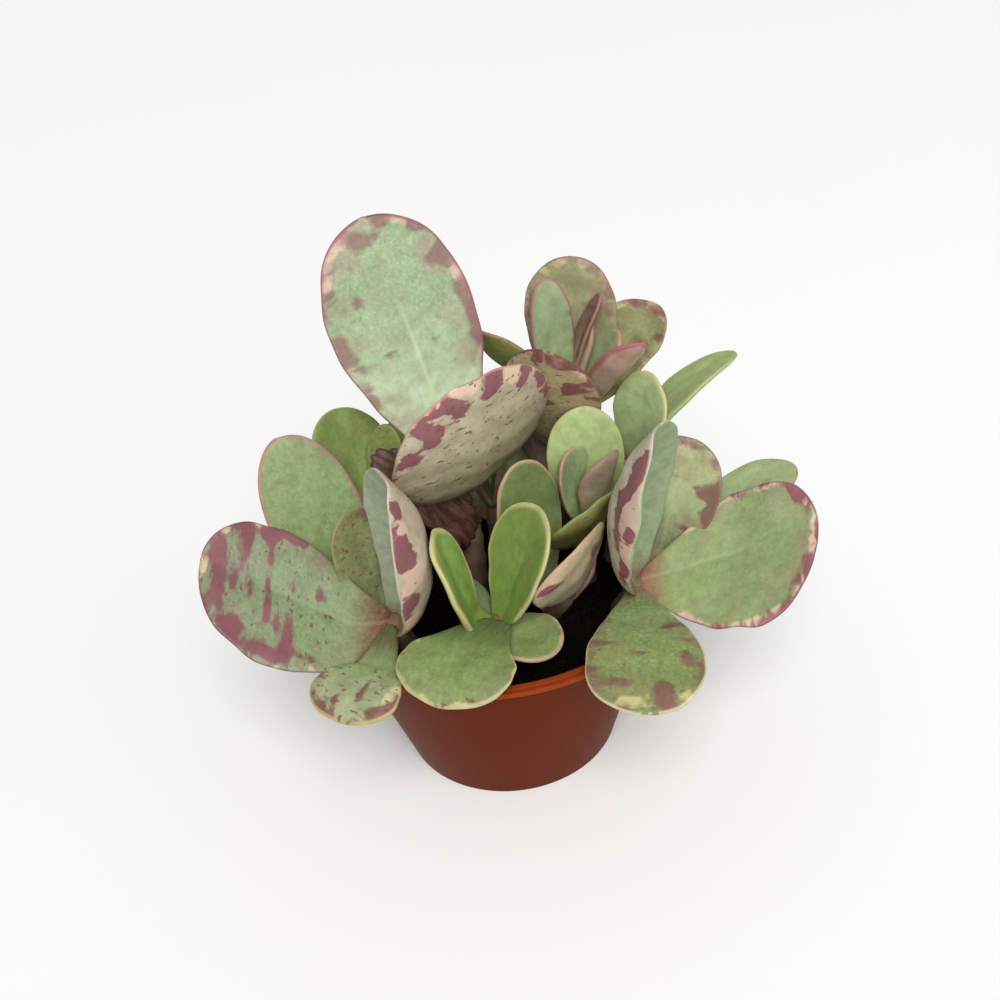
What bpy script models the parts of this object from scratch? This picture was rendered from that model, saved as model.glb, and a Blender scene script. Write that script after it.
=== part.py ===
"""A young kalanchoe in a thin plastic nursery pot.

The origin is the centre of the pot's underside, with Z up and -Y at the front.
Eleven leafy shoots stand in holes in the potting soil. A shoot is one solid: a short stem
with its fleshy leaves grown on. Sizes are in millimetres and degrees until they are built.
"""

import math

import bmesh
import bpy
import numpy as np

MM = 0.001

POT_HEIGHT = 57.0
RIM_RADIUS = 52.5
RIM_TOP_WIDTH = 3.3
RIM_LIP_HEIGHT = 1.6
WALL_TOP_RADIUS = 48.2
WALL_TOP_HEIGHT = 53.2
BASE_RADIUS = 32.6
BASE_ROUND = 1.0
WALL = 1.5
FLOOR = 1.8
DRAIN_HOLES = 6
DRAIN_HOLE_RADIUS = 3.5
DRAIN_CIRCLE_RADIUS = 21.0
POT_STEPS = 64

SOIL_HEIGHT = 47.5
SOIL_FLAT_RADIUS = 30.0
SOIL_EDGE_DROP = 1.0
STEM_FOOT_HEIGHT = 38.0
GAP = 0.3
STEM_HOLE_GAP = 0.8
HOLE_STEPS = 16
CUTTER_OVERRUN = 4.0

LEAF_THICKNESS = 3.0
STALK_HALF_WIDTH = 2.2
ROOT_ROUND_SHARE = 0.05
STALK_SHARE = 0.2
THICKNESS_AT_TIP = 0.75
THICKNESS_TOWARDS_ROOT = 0.35
WAVE_TURNS = 15.0
WAVE_SHIFT = 1.9
LARGE_LEAF_LENGTH = 44.0
STEM_CURVE_STEPS = 3

POT_COLOUR = (0.22, 0.045, 0.018, 1.0)
SOIL_COLOUR = (0.012, 0.009, 0.007, 1.0)
LEAF_COLOUR = (0.30, 0.42, 0.22, 1.0)


def leaf(root, heading, rise, length, breadth, turn=0, cup=0.15, bow=0.03, wedge=0.9, wave=0.0,
         lean=0.0, skew=0.0, thickness=LEAF_THICKNESS):
    """One leaf, as chosen by eye.

    heading and rise aim the midrib: heading 0 is +X and 90 is +Y, and rise 90 is straight up.
    turn rolls the blade about the midrib. cup lifts the margins, as a share of the half breadth.
    bow arches the midrib, as a share of the length. A large wedge draws the base out narrow.
    wave is how far the margins swing up and down. lean makes the left half broader than the
    right one, as seen from above with the tip ahead, and skew draws it back towards the root.
    """
    return dict(root=root, heading=heading, rise=rise, length=length, breadth=breadth,
                turn=turn, cup=cup, bow=bow, wedge=wedge, wave=wave, lean=lean,
                skew=skew, thickness=thickness)


SHOOTS = {
    "shoot_tall": dict(
        foot=(-6, 2),
        path=[(-6, 4, 60), (-6, 9, 76), (-6, 11, 86)],
        radii=(4.2, 3.4),
        leaves=[
            leaf((-5.5, 13, 84), 158, 77, 77, 40, turn=62, cup=0.1, bow=0,
                 wave=1.2, wedge=0.95, lean=0.04),
            leaf((-2, 8, 80.5), -92, 62, 51, 50, turn=-31, cup=0.16, bow=-0.08, wedge=0.62, lean=0.05),
            leaf((-5, 13, 76), 95, 32, 40, 30, bow=0.05),
            leaf((-5, 4, 66), -175, 54, 41, 16, turn=45, cup=0.3, bow=0.06, wedge=0.5, thickness=6),
        ],
    ),
    "shoot_back_right": dict(
        foot=(22, 27),
        path=[(22, 28, 60), (26, 29, 78), (29, 28, 93)],
        radii=(3.6, 2.8),
        leaves=[
            leaf((25, 28, 84.6), 178, 53.5, 46, 24, turn=-30, cup=0.3, bow=0.06, wedge=0.8),
            leaf((22.5, 25, 78), -94, 67, 47, 29, turn=25, cup=0.22, bow=-0.06, wedge=0.8),
            leaf((29.5, 34, 90), 70, 82, 44.5, 27.5, bow=0),
            leaf((24.6, 29, 92.6), 110, 85, 39, 13, cup=0.2, bow=0),
            leaf((25, 29, 94.5), 10, 66, 34, 8, cup=0.3, bow=0, thickness=2.2),
            leaf((31, 30, 91), 20, 43, 37, 23.5, turn=-20, cup=0.3, bow=0, wedge=0.8,
                 wave=0.8, lean=0.05),
            leaf((25.5, 27, 92.5), 30, 64, 27, 9, cup=0.2, bow=0),
            leaf((31, 25, 93), 25, 60, 25, 12.5, turn=-10, cup=0.2, bow=0),
            leaf((30, 26, 91), -48, 51, 37, 13, turn=24, cup=0.3, bow=0, wedge=1.0),
            leaf((24, 31, 70), 100, 20, 46, 34, bow=0.05, wedge=0.8),
            leaf((21, 26, 66), -172, 75, 29, 17, turn=-40, cup=0.2, bow=0, wedge=0.8),
        ],
    ),
    "shoot_middle": dict(
        foot=(27, 3),
        path=[(26, 3, 56), (27, 2, 70)],
        radii=(3.0, 2.4),
        leaves=[
            leaf((27.8, 3.3, 68), 60, 84, 36, 21.5, turn=-26, bow=0.03, wedge=0.85),
            leaf((26.5, 1.8, 70), 125, 86, 23.5, 16, cup=0.3, bow=0, wedge=0.8),
            leaf((29, 0, 69.5), -18, 74, 25, 15, turn=26, cup=0.35, bow=0, wedge=1.0),
            leaf((27, 1.2, 63.7), -92, 51, 27, 25, turn=-32, cup=0.25, bow=-0.04, wedge=0.7),
        ],
    ),
    "shoot_far_right": dict(
        foot=(36, 13),
        path=[(39, 14, 60), (44, 15, 80)],
        radii=(3.0, 2.4),
        leaves=[
            leaf((45.2, 14, 78.5), 40, 80, 28.5, 19, cup=0.2, bow=0, wedge=0.7),
            leaf((44.6, 16.5, 81), 22, 33, 41, 20, turn=18, cup=0.1, bow=0.08),
            leaf((38, 16, 60), 55, 7, 42, 30, bow=0.05, wedge=0.8),
        ],
    ),
    "shoot_right": dict(
        foot=(35, -13),
        path=[(37, -15, 52), (39, -17, 60)],
        radii=(3.6, 3.2),
        leaves=[
            leaf((37.2, -20, 57), 154, 98.5, 55.5, 37, cup=0.57, bow=-0.145),
            leaf((44.6, -12.2, 56.6), 49, 61, 41, 29, turn=-12, cup=0.2, bow=0, wedge=1.0, lean=0.1),
            leaf((40.5, -18, 60.5), -4, 17, 49, 39, turn=-30, cup=0.12, bow=0, wedge=0.95,
                 wave=0.7, lean=-0.15, skew=-0.3),
            leaf((41, -13, 61.8), 24, 16, 54, 20, bow=0, wedge=1.0),
            leaf((38, -19, 58), -95, -1, 47, 30.5, cup=0.1, bow=0.06, wedge=1.25, wave=0.4),
        ],
    ),
    "shoot_left": dict(
        foot=(-27, -17),
        path=[(-28, -20, 52), (-29, -22, 60)],
        radii=(4.0, 3.2),
        leaves=[
            leaf((-31.5, -27.3, 58.6), 167, 29, 53, 36, turn=29, skew=0.26, cup=0.1, bow=0.02, wedge=0.8,
                 wave=1.0, lean=0.1),
            leaf((-27, -25, 56), 15, 87, 52, 38, cup=0.62, bow=-0.17),
            leaf((-38, -7.5, 51), 152, 74, 60, 26, turn=42, cup=0.12, bow=0, wedge=0.8, wave=0.7),
            leaf((-31.5, -11, 54), 172, 82, 36.5, 20, turn=45, cup=0.12, bow=0, wedge=0.8),
            leaf((-30.6, -36.2, 56.4), -117, 2.5, 23, 25, cup=0.0, bow=0.17, wedge=1.05, lean=-0.07),
        ],
    ),
    "shoot_front": dict(
        foot=(0, -22),
        path=[(0, -23, 52), (0, -24, 58)],
        radii=(3.0, 2.4),
        leaves=[
            leaf((-6, -34.5, 61.3), -116, -4, 25, 32, cup=0.1, bow=0.07, wedge=0.7),
            leaf((-6.5, -26.5, 54.5), 170, 76.5, 36, 19.5, cup=0.25, bow=0),
            leaf((0.6, -25, 55.3), 28, 66, 37, 25, cup=0.25, bow=0, wedge=1.0),
            leaf((-1.5, -25.5, 54.8), -42, 8, 21.5, 19.5, bow=0.05, wedge=0.55),
            leaf((-2, -20, 51), 150, 60, 18, 10, wedge=0.8),
        ],
    ),
    "shoot_front_right": dict(
        foot=(15, -10),
        path=[(18, -12, 52), (21, -13, 58)],
        radii=(3.0, 2.4),
        leaves=[
            leaf((12, -4.5, 51.3), 115, 86, 43, 20, cup=0.1, bow=0, wedge=0.8),
            leaf((21.4, -14, 57), -90, 58, 30, 29, turn=-42, cup=0.2, bow=-0.03, wedge=0.8),
            leaf((20, -10, 52), 10, 58, 16, 13, cup=0.2, bow=0),
        ],
    ),
    "shoot_back_left": dict(
        foot=(-25, 4),
        path=[(-27, 4, 58), (-29, 3, 74)],
        radii=(3.2, 2.6),
        leaves=[
            leaf((-29.5, 4, 72), 124, 60, 38, 25, cup=0.12, bow=0, wedge=0.7),
            leaf((-28, 6, 74), 70, 74, 29, 11, cup=0.3, bow=0),
            leaf((-28, 7, 56), 155, 14, 42, 32, cup=0.12, bow=0.05, wedge=0.8),
        ],
    ),
    "shoot_back": dict(
        foot=(2, 27),
        path=[(2, 29, 52), (2, 30, 62)],
        radii=(3.2, 2.6),
        leaves=[
            leaf((2, 32, 54), 92, 14, 46, 36, cup=0.12, bow=0.05, wedge=0.8),
            leaf((4, 31, 58), 45, 26, 30, 22, bow=0.05, wedge=0.8),
            leaf((3, 31, 60), 0, 79, 30, 20, cup=0.2, bow=0, wedge=0.8),
            leaf((1, 31, 60), 180, 68, 26, 18, cup=0.2, bow=0, wedge=0.8),
        ],
    ),
    "shoot_rear_left": dict(
        foot=(-22, 26),
        path=[(-23, 28, 52), (-23, 28, 60)],
        radii=(3.2, 2.6),
        leaves=[
            leaf((-24, 30, 57), 128, 13, 44, 34, cup=0.12, bow=0.05, wedge=0.8),
            leaf((-25, 28, 57), 182, 46, 34, 26, cup=0.12, bow=0, wedge=0.8),
            leaf((-22, 29, 58), 80, 56, 34, 26, bow=0, wedge=0.8),
        ],
    ),
}


def clear_scene():
    for obj in list(bpy.data.objects):
        bpy.data.objects.remove(obj, do_unlink=True)


def new_collection(name):
    collection = bpy.data.collections.new(name)
    bpy.context.scene.collection.children.link(collection)
    return collection


def new_object(name, mesh, collection):
    obj = bpy.data.objects.new(name, mesh)
    collection.objects.link(obj)
    return obj


def new_material(name, colour, roughness):
    material = bpy.data.materials.new(name)
    material.use_nodes = True
    surface = material.node_tree.nodes["Principled BSDF"]
    surface.inputs["Base Color"].default_value = colour
    surface.inputs["Roughness"].default_value = roughness
    surface.inputs["Metallic"].default_value = 0.0
    return material


def shade_round(mesh):
    mesh.shade_smooth()
    mesh.set_sharp_from_angle(angle=math.radians(40))


def turned(name, profile, steps, collection):
    """A profile of (radius, height) points, turned about the Z axis with a Screw modifier."""
    mesh = bpy.data.meshes.new(name)
    points = [(radius * MM, 0.0, height * MM) for radius, height in profile]
    edges = [(i, i + 1) for i in range(len(points) - 1)]
    mesh.from_pydata(points, edges, [])
    obj = new_object(name, mesh, collection)
    screw = obj.modifiers.new("turn", "SCREW")
    screw.steps = steps
    screw.render_steps = steps
    screw.use_merge_vertices = True
    screw.merge_threshold = 0.00001
    screw.use_smooth_shade = True
    return obj


def upright_cutter(name, x, y, low, high, radius, collection):
    """A plain upright cylinder that cuts a hole, hidden in a render."""
    mesh = bpy.data.meshes.new(name)
    shape = bmesh.new()
    bmesh.ops.create_cone(shape, cap_ends=True, segments=HOLE_STEPS, radius1=radius * MM,
                          radius2=radius * MM, depth=(high - low) * MM)
    shape.to_mesh(mesh)
    shape.free()
    obj = new_object(name, mesh, collection)
    obj.location = (x * MM, y * MM, (low + high) / 2 * MM)
    obj.hide_render = True
    obj.display_type = "WIRE"
    return obj


def cut(obj, cutter):
    hole = obj.modifiers.new(cutter.name, "BOOLEAN")
    hole.operation = "DIFFERENCE"
    hole.object = cutter


def wall_radius(height):
    """Outer radius of the tapered wall at a height."""
    share = (height - BASE_ROUND) / (WALL_TOP_HEIGHT - BASE_ROUND)
    return BASE_RADIUS + (WALL_TOP_RADIUS - BASE_RADIUS) * share


def build_pot(parts, cutters):
    """The thin tapered pot: a flat floor with drain holes, a plain wall and a rim that stands out."""
    rim_inner = RIM_RADIUS - RIM_TOP_WIDTH
    lip_low = POT_HEIGHT - RIM_LIP_HEIGHT
    corner = 0.4
    profile = [
        (0, FLOOR),
        (wall_radius(FLOOR) - WALL, FLOOR),
        (wall_radius(WALL_TOP_HEIGHT) - WALL, WALL_TOP_HEIGHT),
        (rim_inner - corner, POT_HEIGHT - corner),
        (rim_inner, POT_HEIGHT),
        (RIM_RADIUS - corner, POT_HEIGHT),
        (RIM_RADIUS, POT_HEIGHT - corner),
        (RIM_RADIUS, lip_low + corner),
        (RIM_RADIUS - corner, lip_low),
        (rim_inner + corner, lip_low - corner),
        (WALL_TOP_RADIUS, WALL_TOP_HEIGHT),
        (BASE_RADIUS, BASE_ROUND),
        (BASE_RADIUS - 0.3 * BASE_ROUND, 0.3 * BASE_ROUND),
        (BASE_RADIUS - BASE_ROUND, 0),
        (0, 0),
    ]
    pot = turned("pot", profile, POT_STEPS, parts)
    for i in range(DRAIN_HOLES):
        angle = 2 * math.pi * (i + 0.5) / DRAIN_HOLES
        x = DRAIN_CIRCLE_RADIUS * math.cos(angle)
        y = DRAIN_CIRCLE_RADIUS * math.sin(angle)
        low = -CUTTER_OVERRUN
        high = FLOOR + CUTTER_OVERRUN
        cut(pot, upright_cutter(f"drain_{i}", x, y, low, high, DRAIN_HOLE_RADIUS, cutters))
    pot.data.materials.append(new_material("terracotta coloured plastic", POT_COLOUR, 0.45))


def build_soil(parts, cutters):
    """The soil fills the pot to below the rim, with a plain hole for each stem."""
    low = FLOOR + GAP
    edge = SOIL_HEIGHT - SOIL_EDGE_DROP
    profile = [
        (0, SOIL_HEIGHT),
        (SOIL_FLAT_RADIUS, SOIL_HEIGHT),
        (wall_radius(edge) - WALL - GAP, edge),
        (wall_radius(low) - WALL - GAP, low),
        (0, low),
    ]
    soil = turned("potting_soil", profile, POT_STEPS, parts)
    for name, shoot in SHOOTS.items():
        x, y = shoot["foot"]
        radius = shoot["radii"][0] + STEM_HOLE_GAP
        floor = STEM_FOOT_HEIGHT - GAP
        top = SOIL_HEIGHT + CUTTER_OVERRUN
        cut(soil, upright_cutter(f"hole_{name}", x, y, floor, top, radius, cutters))
    soil.data.materials.append(new_material("potting soil", SOIL_COLOUR, 0.95))


def nearest_on_stem(point, knots):
    """The point of a stem's middle line that lies nearest to a leaf's root."""
    best = None
    for low, high in zip(knots, knots[1:]):
        run = high - low
        share = np.clip(np.dot(point - low, run) / np.dot(run, run), 0, 1)
        found = low + share * run
        if best is None or np.linalg.norm(point - found) < np.linalg.norm(point - best):
            best = found
    return best


def leaf_object(name, knots, root, heading, rise, length, breadth, turn, cup, bow, wedge, wave,
                lean, skew, thickness, collection):
    """A leaf, drawn out of a UV sphere whose poles are the root and the tip.

    A point's share along the leaf comes from its height on the sphere, and its place across
    from its longitude. The half breadth is share^wedge * sqrt(1 - share), which is narrow at
    the root and round at the tip, plus a stalk that thins out along the leaf. The stalk's end
    bends in to the middle of the stem. lean adds its share to the left half and takes it off
    the right one, and skew moves a point back by its share of the place to the left. The
    margins lift with the 1.7th power of the distance across, less towards the tip by
    sqrt(1 - share^4). They swing in a sine wave that grows along the leaf, out of step on
    the two sides.
    """
    large = length >= LARGE_LEAF_LENGTH
    sides, rings = (10, 10) if large else (8, 9)
    shape = bmesh.new()
    bmesh.ops.create_uvsphere(shape, u_segments=sides, v_segments=rings, radius=1.0)
    bmesh.ops.triangulate(shape, faces=shape.faces, quad_method="SHORT_EDGE")
    sphere = np.array([vertex.co for vertex in shape.verts])
    along = (1 - sphere[:, 2]) / 2
    waist = np.hypot(sphere[:, 0], sphere[:, 1])
    at_pole = waist < 1e-4
    across = np.where(at_pole, 0, sphere[:, 0] / np.maximum(waist, 1e-4))
    upward = np.where(at_pole, 0, sphere[:, 1] / np.maximum(waist, 1e-4))
    face = np.sign(upward) * np.abs(upward) ** 0.75
    peak_at = wedge / (wedge + 0.5)
    peak = peak_at**wedge * (1 - peak_at) ** 0.5
    root_cap = np.sqrt(1 - (1 - np.clip(along / ROOT_ROUND_SHARE, 0, 1)) ** 2)
    tip_cap = np.sqrt(1 - (2 * np.clip(along, 0.5, 1) - 1) ** 6)
    half = breadth / 2 * along**wedge * np.sqrt(1 - along) / peak
    half = half + STALK_HALF_WIDTH * (1 - along) ** 3 * root_cap
    depth = thickness * (THICKNESS_AT_TIP + THICKNESS_TOWARDS_ROOT * (1 - along)) * root_cap * tip_cap
    forward = length * along
    half = half * (1 + lean * across)
    sideways = half * across * (1 - 0.1 * cup * across**2)
    lift = cup * half * np.abs(across) ** 1.7 * np.sqrt(1 - along**4)
    lift = lift + bow * length * 4 * along * (1 - along)
    swing = np.sin(WAVE_TURNS * along + WAVE_SHIFT * (across > 0))
    lift = lift + wave * along * np.abs(across) ** 3 * swing
    lift = lift + depth / 2 * face
    h, r, t = np.radians([heading, rise, turn])
    midrib = np.array([np.cos(r) * np.cos(h), np.cos(r) * np.sin(h), np.sin(r)])
    normal = np.array([-np.sin(r) * np.cos(h), -np.sin(r) * np.sin(h), np.cos(r)])
    left = np.cross(normal, midrib)
    up = normal * np.cos(t) + left * np.sin(t)
    side = left * np.cos(t) - normal * np.sin(t)
    root = np.array(root, float)
    forward = forward - skew * sideways
    points = root + np.outer(forward, midrib) + np.outer(sideways, side) + np.outer(lift, up)
    bend = np.clip(1 - along / STALK_SHARE, 0, 1) ** 1.5
    points = points + np.outer(bend, nearest_on_stem(root, knots) - root)
    for vertex, point in zip(shape.verts, points * MM):
        vertex.co = point
    bmesh.ops.recalc_face_normals(shape, faces=shape.faces)
    mesh = bpy.data.meshes.new(name)
    shape.to_mesh(mesh)
    shape.free()
    return new_object(name, mesh, collection)


def stem_object(name, knots, radii, collection):
    """A stem: a round curve that thins upwards, made a closed mesh."""
    curve = bpy.data.curves.new(name, "CURVE")
    curve.dimensions = "3D"
    curve.resolution_u = STEM_CURVE_STEPS
    curve.bevel_depth = MM
    curve.bevel_resolution = 2
    curve.use_fill_caps = True
    spline = curve.splines.new("BEZIER")
    spline.bezier_points.add(len(knots) - 1)
    for i, (handle, knot) in enumerate(zip(spline.bezier_points, knots)):
        handle.co = knot * MM
        handle.handle_left_type = "AUTO"
        handle.handle_right_type = "AUTO"
        handle.radius = radii[0] + (radii[1] - radii[0]) * i / (len(knots) - 1)
    guide = new_object(name, curve, collection)
    graph = bpy.context.evaluated_depsgraph_get()
    mesh = bpy.data.meshes.new_from_object(guide.evaluated_get(graph))
    welded = bmesh.new()
    welded.from_mesh(mesh)
    bmesh.ops.remove_doubles(welded, verts=welded.verts, dist=0.00001)
    bmesh.ops.recalc_face_normals(welded, faces=welded.faces)
    welded.to_mesh(mesh)
    welded.free()
    place = guide.matrix_world.copy()
    bpy.data.objects.remove(guide, do_unlink=True)
    bpy.data.curves.remove(curve)
    stem = new_object(name, mesh, collection)
    stem.matrix_world = place
    return stem


def build_shoot(name, shoot, parts, material):
    """A stem with its leaves grown on: one Boolean union joins them, and is applied."""
    x, y = shoot["foot"]
    knots = np.array([(x, y, STEM_FOOT_HEIGHT), (x, y, SOIL_HEIGHT)] + shoot["path"], float)
    stem = stem_object(name, knots, shoot["radii"], parts)
    grown = new_collection(f"{name}_leaves")
    for i, shape in enumerate(shoot["leaves"]):
        leaf_object(f"{name}_leaf_{i}", knots, collection=grown, **shape)
    join = stem.modifiers.new("leaves", "BOOLEAN")
    join.operation = "UNION"
    join.operand_type = "COLLECTION"
    join.collection = grown
    graph = bpy.context.evaluated_depsgraph_get()
    joined = bpy.data.meshes.new_from_object(stem.evaluated_get(graph))
    stem.modifiers.clear()
    stem.data = joined
    for obj in list(grown.objects):
        bpy.data.objects.remove(obj, do_unlink=True)
    bpy.data.collections.remove(grown)
    joined.name = name
    joined.materials.clear()
    joined.materials.append(material)
    shade_round(joined)


clear_scene()
plant_parts = new_collection("potted kalanchoe")
hole_cutters = new_collection("cutters")
build_pot(plant_parts, hole_cutters)
build_soil(plant_parts, hole_cutters)
leaf_material = new_material("kalanchoe leaf", LEAF_COLOUR, 0.5)
for shoot_name, shoot_shape in SHOOTS.items():
    build_shoot(shoot_name, shoot_shape, plant_parts, leaf_material)
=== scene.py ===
"""A young mottled kalanchoe in a terracotta coloured nursery pot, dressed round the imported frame."""

import itertools
import math

import bpy
import numpy as np
from mathutils import Matrix, Vector


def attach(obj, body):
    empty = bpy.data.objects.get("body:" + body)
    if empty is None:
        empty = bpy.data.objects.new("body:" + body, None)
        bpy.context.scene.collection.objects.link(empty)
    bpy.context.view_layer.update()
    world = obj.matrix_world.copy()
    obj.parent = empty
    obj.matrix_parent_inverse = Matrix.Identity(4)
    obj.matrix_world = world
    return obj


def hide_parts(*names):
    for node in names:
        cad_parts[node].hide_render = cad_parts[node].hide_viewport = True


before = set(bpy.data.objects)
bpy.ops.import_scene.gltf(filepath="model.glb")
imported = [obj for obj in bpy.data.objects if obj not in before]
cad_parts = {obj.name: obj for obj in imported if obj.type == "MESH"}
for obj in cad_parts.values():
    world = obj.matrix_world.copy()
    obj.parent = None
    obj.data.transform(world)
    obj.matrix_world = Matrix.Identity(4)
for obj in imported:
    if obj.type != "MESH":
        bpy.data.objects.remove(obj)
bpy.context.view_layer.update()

# The camera looks down on the plant from the front, held a little crooked, as the photograph
# was taken. Its place was worked out from the ellipses of the pot's rim and base.
MM = 0.001
CAMERA_PLACE = (3.95, -265.97, 253.75)
CAMERA_PITCH = 33.0
CAMERA_ROLL = 6.7
CAMERA_LENS = 41.0
SENSOR_WIDTH = 36.0

camera_data = bpy.data.cameras.new("camera")
camera_data.lens = CAMERA_LENS
camera_data.sensor_width = SENSOR_WIDTH
camera_data.clip_start = 0.01
camera_data.clip_end = 20.0
camera = bpy.data.objects.new("camera", camera_data)
bpy.context.scene.collection.objects.link(camera)
aim = Matrix.Rotation(math.radians(90 - CAMERA_PITCH), 4, "X")
roll = Matrix.Rotation(math.radians(-CAMERA_ROLL), 4, "Z")
camera.matrix_world = Matrix.Translation(Vector(CAMERA_PLACE) * MM) @ aim @ roll
bpy.context.scene.camera = camera


# The floor is a plain pale sheet, as in a product picture, and the light is soft: a pale sky
# all round, one broad light from above the camera and a weak lamp on the right.
FLOOR_RADIUS = 6.0
FLOOR_SIDES = 96
FLOOR_COLOUR = "FCFCFB"
FLOOR_SHADE = "FAFAF8"
SKY_STRENGTH = 0.38
LAMP_TARGET = (0, 0, 0.07)
LAMPS = {
    "key_light": dict(kind="SUN", place=(0.05, -0.9, 1.0), field="angle", size=0.65, power=2.6),
    "fill_light": dict(kind="AREA", place=(0.8, -0.6, 0.6), field="size", size=0.8, power=1.4),
}


def colour(text):
    """An sRGB hex colour turned to linear light, with full alpha."""
    parts = np.array([int(text[i:i + 2], 16) for i in (0, 2, 4)]) / 255
    linear = np.where(parts <= 0.04045, parts / 12.92, ((parts + 0.055) / 1.055) ** 2.4)
    return (*linear, 1.0)


def fill(node, inputs):
    """Gives each input of a node its value, or a link from another node's output."""
    for socket, value in inputs.items():
        if isinstance(value, bpy.types.NodeSocket):
            node.id_data.links.new(value, node.inputs[socket])
        else:
            node.inputs[socket].default_value = value


def add(tree, kind, inputs=None, **settings):
    """Adds a node, sets its fields, fills its inputs and returns its outputs."""
    node = tree.nodes.new("ShaderNode" + kind)
    for field, value in settings.items():
        setattr(node, field, value)
    fill(node, inputs or {})
    return node.outputs


def new_material(name):
    """An empty material with its node tree and its Principled surface."""
    material = bpy.data.materials.new(name)
    material.use_nodes = True
    return material, material.node_tree, material.node_tree.nodes["Principled BSDF"]


def mesh_piece(name, points, faces, materials, smooth=True):
    """A piece whose place, in millimetres, is in its mesh."""
    mesh = bpy.data.meshes.new(name)
    mesh.from_pydata((np.asarray(points) * MM).tolist(), [], [tuple(face) for face in faces])
    for material in materials:
        mesh.materials.append(material)
    if smooth:
        mesh.shade_smooth()
    piece = bpy.data.objects.new(name, mesh)
    bpy.context.scene.collection.objects.link(piece)
    return piece


floor_material, tree, surface = new_material("matt paper backdrop")
grain = add(tree, "TexNoise", {"Scale": 40.0, "Detail": 3.0})["Fac"]
floor_tint = add(tree, "Mix", {"Factor": grain, 6: colour(FLOOR_COLOUR), 7: colour(FLOOR_SHADE)},
                 data_type="RGBA")[2]
fill(surface, {"Base Color": floor_tint, "Roughness": 0.9})
floor_turns = np.arange(FLOOR_SIDES) * 2 * math.pi / FLOOR_SIDES
floor_ring = np.stack([np.cos(floor_turns), np.sin(floor_turns), np.zeros(FLOOR_SIDES)], 1)
floor = mesh_piece("floor", floor_ring * FLOOR_RADIUS / MM, [range(FLOOR_SIDES)], [floor_material],
                   smooth=False)

world = bpy.data.worlds.new("studio")
world.use_nodes = True
world.node_tree.nodes["Background"].inputs["Color"].default_value = (1.0, 1.0, 1.0, 1.0)
world.node_tree.nodes["Background"].inputs["Strength"].default_value = SKY_STRENGTH
bpy.context.scene.world = world
bpy.context.scene.view_settings.view_transform = "Standard"

for lamp_name, lamp in LAMPS.items():
    light = bpy.data.lights.new(lamp_name, lamp["kind"])
    setattr(light, lamp["field"], lamp["size"])
    light.energy = lamp["power"]
    holder = bpy.data.objects.new(lamp_name, light)
    bpy.context.scene.collection.objects.link(holder)
    holder.location = lamp["place"]
    towards = Vector(LAMP_TARGET) - Vector(lamp["place"])
    holder.rotation_euler = towards.to_track_quat("-Z", "Y").to_euler()


# The pot is one thin injection moulded shell of terracotta coloured polypropylene: a flat floor
# with drain holes, a tapered wall, and a rim that stands out and has a fine groove round its top.
POT_HEIGHT = 57.0
RIM_RADIUS = 52.5
RIM_INNER_RADIUS = 49.2
RIM_GROOVE_RADIUS = 51.15
RIM_GROOVE = 0.9
RIM_LIP_DROP = 0.25
LIP_UNDERSIDE = 55.3
WALL_TOP_RADIUS = 48.2
WALL_TOP_HEIGHT = 53.2
BASE_RADIUS = 32.6
POT_WALL = 1.5
POT_FLOOR = 1.8
POT_STEPS = 192
DRAIN_HOLES = 6
DRAIN_HOLE_RADIUS = 3.5
DRAIN_CIRCLE_RADIUS = 21.0
POT_COLOUR = "64240A"
POT_SHADE = "581F08"
# The rim colour is a painted highlight: the rim's top is painted brighter orange than the wall, where
# light falls on it.
RIM_HIGHLIGHT_COLOUR = "8C3B18"


def rounded(corners, arc_points=5):
    """A profile of (radius, height, rounding) corners, each rounded by a curve that starts and
    ends that far from the corner and bends towards it: (1-u)^2 a + 2u(1-u) corner + u^2 b."""
    points = np.array([corner[:2] for corner in corners], float)
    line = [points[0]]
    for before, here, after, corner in zip(points, points[1:], points[2:], corners[1:]):
        reach = corner[2]
        if reach == 0:
            line.append(here)
            continue
        start = here + (before - here) / np.linalg.norm(before - here) * reach
        end = here + (after - here) / np.linalg.norm(after - here) * reach
        for u in np.linspace(0, 1, arc_points):
            line.append((1 - u) ** 2 * start + 2 * u * (1 - u) * here + u**2 * end)
    line.append(points[-1])
    return np.array(line)


def turned(profile, steps):
    """Points and faces of a profile turned about Z: point (i, j) is at the profile's radius i,
    at the angle 2 pi j / steps. The profile runs from the axis, up the outside and back to the
    axis, and both ends close in one point."""
    turn = np.arange(steps) * 2 * math.pi / steps
    radius, height = profile[1:-1, 0], profile[1:-1, 1]
    ring = np.stack([np.outer(radius, np.cos(turn)), np.outer(radius, np.sin(turn)),
                     np.repeat(height[:, None], steps, 1)], 2)
    points = np.concatenate([ring.reshape(-1, 3), [[0, 0, profile[0, 1]], [0, 0, profile[-1, 1]]]])
    return points, closed_faces(len(radius), steps)


def closed_faces(rings, sides):
    """Quads between neighbouring rings, and a fan from each end ring to its pole. The two poles
    are the points after the rings."""
    i, j = np.meshgrid(np.arange(rings - 1), np.arange(sides), indexing="ij")
    after = (j + 1) % sides
    quads = np.stack([i * sides + j, i * sides + after, (i + 1) * sides + after, (i + 1) * sides + j], -1)
    first = rings * sides
    j = np.arange(sides)
    after = (j + 1) % sides
    starts = np.stack([np.full(sides, first), after, j], 1)
    ends = np.stack([np.full(sides, first + 1), first - sides + j, first - sides + after], 1)
    return quads.reshape(-1, 4).tolist() + starts.tolist() + ends.tolist()


def wall_radius(height):
    """Outer radius of the tapered wall at a height."""
    return BASE_RADIUS + (WALL_TOP_RADIUS - BASE_RADIUS) * (height - 1) / (WALL_TOP_HEIGHT - 1)
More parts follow.
